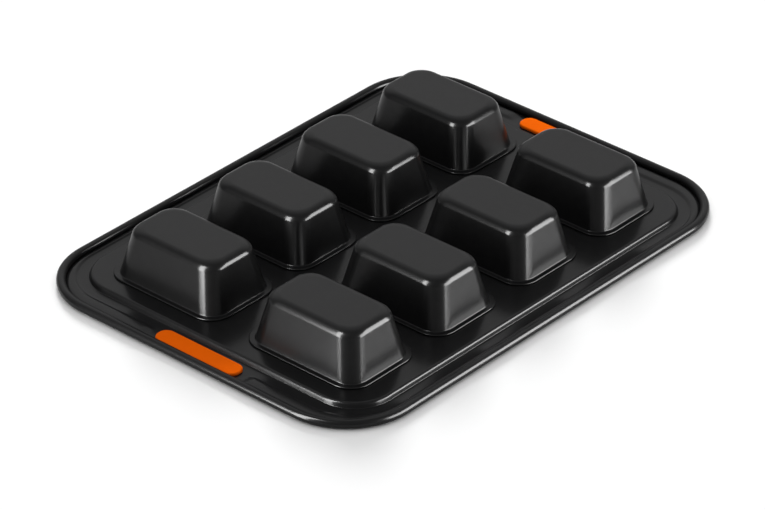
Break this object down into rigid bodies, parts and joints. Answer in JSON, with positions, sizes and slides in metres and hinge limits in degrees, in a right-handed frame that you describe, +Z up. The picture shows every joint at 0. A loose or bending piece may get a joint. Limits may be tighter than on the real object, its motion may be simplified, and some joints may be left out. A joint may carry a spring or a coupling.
{
  "type": "mini loaf cake pan",
  "caption": "Non-stick steel pan of small rectangular loaf cups seamed into a tray with a wired rim and an orange silicone grip at each end, shown upside down.",
  "frame": {"origin": "centre of the pan, on the surface that its rolled rim stands on", "axes": "+X along the pan from the front grip to the back grip, +Y across it, +Z up, towards the flat bases of the cups"},
  "size_m": [0.3998, 0.2948, 0.041],
  "materials": {
    "coated_steel": "satin non-stick coating, near-black charcoal",
    "wire_steel": "plain drawn wire",
    "silicone": "matte moulded orange silicone"
  },
  "bodies": {
    "root": {"tray": "coated_steel", "rim_wire": "wire_steel", "loaf_cup_1_1": "coated_steel", "loaf_cup_1_2": "coated_steel", "loaf_cup_1_3": "coated_steel", "loaf_cup_1_4": "coated_steel", "loaf_cup_2_1": "coated_steel", "loaf_cup_2_2": "coated_steel", "loaf_cup_2_3": "coated_steel", "loaf_cup_2_4": "coated_steel", "grip_front": "silicone", "grip_back": "silicone"}
  },
  "joints": []
}
